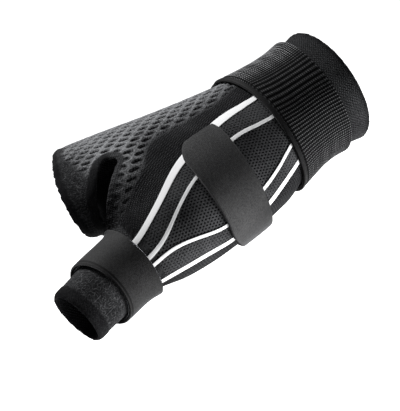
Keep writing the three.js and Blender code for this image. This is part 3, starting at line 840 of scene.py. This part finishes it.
class Nodes:
    """A short way to write shader maths."""

    def __init__(self, material):
        material.use_nodes = True
        self.tree = material.node_tree
        self.shader = self.tree.nodes["Principled BSDF"]

    def put(self, socket, value):
        if isinstance(value, bpy.types.NodeSocket):
            self.tree.links.new(value, socket)
        else:
            socket.default_value = value

    def math(self, operation, *values):
        node = self.tree.nodes.new("ShaderNodeMath")
        node.operation = operation
        for socket, value in zip(node.inputs, values):
            self.put(socket, value)
        return node.outputs[0]

    def add(self, *values):
        total = values[0]
        for value in values[1:]:
            total = self.math("ADD", total, value)
        return total

    def times(self, *values):
        total = values[0]
        for value in values[1:]:
            total = self.math("MULTIPLY", total, value)
        return total

    def ramp(self, value, low, high, to_low=0.0, to_high=1.0):
        node = self.tree.nodes.new("ShaderNodeMapRange")
        node.interpolation_type = "SMOOTHSTEP"
        for socket, given in zip(node.inputs, (value, low, high, to_low, to_high)):
            self.put(socket, given)
        return node.outputs[0]

    def field(self, name):
        node = self.tree.nodes.new("ShaderNodeAttribute")
        node.attribute_name = name
        return node.outputs["Fac"]

    def uv(self):
        node = self.tree.nodes.new("ShaderNodeUVMap")
        node.uv_map = "UVMap"
        split = self.tree.nodes.new("ShaderNodeSeparateXYZ")
        self.tree.links.new(node.outputs[0], split.inputs[0])
        return node.outputs[0], split.outputs[0], split.outputs[1]

    def place(self):
        return self.tree.nodes.new("ShaderNodeTexCoord").outputs["Object"]

    def noise(self, vector, scale, detail=2.0, rough=0.5):
        node = self.tree.nodes.new("ShaderNodeTexNoise")
        self.put(node.inputs["Vector"], vector)
        self.put(node.inputs["Scale"], scale)
        self.put(node.inputs["Detail"], detail)
        self.put(node.inputs["Roughness"], rough)
        return node.outputs["Fac"]

    def wave(self, value, pitch):
        """0 to 1 and back in each pitch of a coordinate in units of 10 mm."""
        turned = self.math("SINE", self.times(value, 2 * math.pi * UV_UNIT / pitch))
        return self.math("MULTIPLY_ADD", turned, 0.5, 0.5)

    def stitches(self, u, v, course, wale):
        """Rows of small V-shaped stitches."""
        zigzag = self.math("PINGPONG", v, wale / 2 / UV_UNIT)
        slope = self.math("MULTIPLY_ADD", zigzag, 1.3, u)
        return self.times(self.wave(slope, course), self.ramp(self.wave(v, wale / 2), 0.0, 0.5, 0.45, 1.0))

    def eyelets(self, u, v, pitch_u, pitch_v):
        """Round holes in staggered rows: 1 in a hole."""
        row = self.math("FLOOR", self.times(v, UV_UNIT / pitch_v))
        shift = self.times(self.math("MODULO", self.math("ABSOLUTE", row), 2.0), 0.5)
        along = self.math("FRACT", self.add(self.times(u, UV_UNIT / pitch_u), shift, 50.0))
        across = self.math("FRACT", self.times(v, UV_UNIT / pitch_v))
        du = self.math("ABSOLUTE", self.math("SUBTRACT", along, 0.5))
        dv = self.math("ABSOLUTE", self.math("SUBTRACT", across, 0.5))
        far = self.math("SQRT", self.add(self.times(du, du), self.times(dv, dv)))
        return self.ramp(far, 0.16, 0.36, 1.0, 0.0)

    def tint(self, value, dark, light):
        node = self.tree.nodes.new("ShaderNodeMix")
        node.data_type = "RGBA"
        self.put(node.inputs["Factor"], value)
        node.inputs["A"].default_value = (*dark, 1)
        node.inputs["B"].default_value = (*light, 1)
        return node.outputs["Result"]

    def bump(self, height, distance, strength=1.0):
        node = self.tree.nodes.new("ShaderNodeBump")
        node.inputs["Strength"].default_value = strength
        node.inputs["Distance"].default_value = distance
        self.put(node.inputs["Height"], height)
        self.put(self.shader.inputs["Normal"], node.outputs[0])

    def contour(self, vector, scale):
        """Meandering raised lines."""
        level = self.math("ABSOLUTE", self.math("SUBTRACT", self.noise(vector, scale, 0.0), 0.5))
        return self.ramp(level, 0.015, 0.06, 1.0, 0.0)

    def finish(self, colour, roughness, sheen, sheen_roughness=0.45, specular=0.12):
        self.put(self.shader.inputs["Base Color"], colour)
        self.put(self.shader.inputs["Roughness"], roughness)
        self.shader.inputs["Sheen Weight"].default_value = sheen
        self.shader.inputs["Sheen Roughness"].default_value = sheen_roughness
        self.shader.inputs["Sheen Tint"].default_value = (0.9, 0.93, 1.0, 1)
        self.shader.inputs["Specular IOR Level"].default_value = specular


def knit_material():
    material = bpy.data.materials.new("knit")
    n = Nodes(material)
    vector, u, v = n.uv()
    place = n.place()
    fuzz = n.noise(place, 2600.0, 3.0, 0.6)
    patches = n.noise(place, 70.0, 2.0)
    coarse = n.noise(place, 1000.0, 2.0, 0.6)
    stitch = n.stitches(u, v, STITCH_COURSE, STITCH_WALE)
    ribs = n.wave(n.add(n.field("round_thumb"), n.times(patches, 0.1)), KNIT_RIB_PITCH)
    holes = n.eyelets(n.add(u, n.times(v, 0.3)), v, EYELETS_ALONG, EYELETS_ACROSS)
    lines = n.contour(vector, 6.5)
    rib, mesh, jacquard = n.field("rib_knit"), n.field("mesh_knit"), n.field("jacquard_knit")
    hem, net = n.field("hem_knit"), n.field("net_knit")
    plain = n.math("SUBTRACT", 1.0, n.math("MAXIMUM", n.math("MAXIMUM", hem, mesh), jacquard))
    height = n.add(
        n.times(ribs, rib, 0.35),
        n.times(stitch, plain, 0.45),
        n.times(holes, mesh, -1.0),
        n.times(coarse, n.add(n.times(jacquard, 0.2), net), 0.9),
        n.times(lines, jacquard, 1.1),
        n.times(fuzz, 0.35))
    # The eyelets are painted darker, as painted shade in the holes; the tone field brings the dimples'
    # painted shade and painted highlights
    tone = n.add(
        n.field("tone"),
        n.times(n.add(ribs, -0.5), rib, 0.1),
        n.times(holes, mesh, -0.3),
        n.times(n.add(stitch, -0.4), plain, 0.2),
        n.times(n.add(fuzz, -0.5), 0.5),
        n.times(n.add(patches, -0.5), 0.25),
        n.times(n.add(coarse, -0.5), n.add(net, n.times(jacquard, 0.3)), 0.8),
        n.times(lines, jacquard, 0.15))
    yarn = n.tint(n.ramp(tone, 0.0, 1.0), dark=(0.0015, 0.0015, 0.0018), light=(0.2, 0.203, 0.21))
    n.finish(yarn, roughness=0.9, sheen=0.015, specular=0.02)
    n.bump(height, 0.00035, 0.8)
    return material


def cloth_material(name, dark, light, sheen, has_line=False):
    material = bpy.data.materials.new(name)
    n = Nodes(material)
    _, u, v = n.uv()
    place = n.place()
    grain = n.noise(place, 2200.0, 3.0, 0.65)
    cloud = n.noise(place, 45.0, 2.0)
    weave = n.times(n.wave(u, CLOTH_WEAVE), n.wave(v, CLOTH_WEAVE))
    tone = n.add(n.times(grain, 0.55), n.times(cloud, 0.35), n.times(weave, 0.1))
    # The groove along the strap's line is painted darker: painted shade
    if has_line:
        tone = n.add(tone, n.times(n.field("line"), -0.9))
    cloth = n.tint(n.ramp(tone, 0.3, 0.7), dark, light)
    n.finish(cloth, roughness=0.7, sheen=sheen, sheen_roughness=0.22, specular=0.06)
    n.bump(n.add(n.times(grain, 0.8), n.times(weave, 0.3)), 0.00012, 0.6)
    return material


def webbing_material():
    material = bpy.data.materials.new("webbing")
    n = Nodes(material)
    _, u, v = n.uv()
    fuzz = n.noise(n.place(), 2400.0, 2.0, 0.6)
    yarn = n.wave(n.add(u, v), WEBBING_YARN)
    # Painted light: darker in the grooves and lighter on the ribs and beads (painted shade), and the painted
    # highlight on the beads' tops
    tone = n.add(
        n.times(n.field("height"), 0.16),
        n.times(n.field("painted_highlight"), 0.8),
        n.times(n.add(fuzz, -0.5), 0.2),
        n.times(yarn, 0.03))
    elastic = n.tint(n.ramp(tone, 0.0, 1.0), dark=(0.001, 0.001, 0.0012), light=(0.3, 0.302, 0.308))
    n.finish(elastic, roughness=0.85, sheen=0.015, specular=0.02)
    n.bump(n.add(n.times(fuzz, 0.5), n.times(yarn, 0.3)), 0.00015, 0.6)
    return material


def stripe_material():
    material = bpy.data.materials.new("stripe")
    n = Nodes(material)
    _, u, v = n.uv()
    yarn = n.times(n.wave(u, STRIPE_YARN[0]), n.wave(v, STRIPE_YARN[1]))
    grain = n.noise(n.place(), 2500.0, 2.0)
    tone = n.add(n.times(yarn, 0.4), n.times(grain, 0.6))
    white = n.tint(tone, dark=(0.72, 0.72, 0.73), light=(0.83, 0.83, 0.83))
    n.finish(white, roughness=0.7, sheen=0.05)
    n.bump(tone, 0.00008, 0.5)
    return material


def dress(piece, material, node):
    """Gives a piece its material, and puts it in the place of its CAD node."""
    piece.data.materials.append(material)
    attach(piece, "root")
    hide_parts(node)


add_studio(*add_camera())

sleeve, sleeve_tree = make_sleeve()
dress(sleeve, knit_material(), "knit_sleeve")

webbing, webbing_length, webbing_width = make_wrist_strap(sleeve_tree)
dress(webbing, webbing_material(), "wrist_strap")

binding = make_binding(sleeve_tree)
binding_cloth = cloth_material("binding", (0.002, 0.002, 0.0022), (0.014, 0.014, 0.0145), sheen=0.06)
dress(binding, binding_cloth, "wrist_strap_binding")

cross, cross_length, cross_width = make_cross_strap(sleeve_tree)
cross_cloth = cloth_material("strap", (0.014, 0.014, 0.0145), (0.06, 0.06, 0.061), sheen=0.3)
dress(cross, cross_cloth, "cross_strap")

thumb, thumb_length, thumb_width = make_thumb_strap(sleeve_tree)
thumb_cloth = cloth_material("thumb_strap", (0.003, 0.003, 0.0032), (0.03, 0.03, 0.0305), 0.4, has_line=True)
dress(thumb, thumb_cloth, "thumb_strap")

stripe_cloth = stripe_material()
stripes = [make_stripe(sleeve_tree, node) for node in STRIPE_NODES]
for stripe, node in zip(stripes, STRIPE_NODES):
    dress(stripe, stripe_cloth, node)
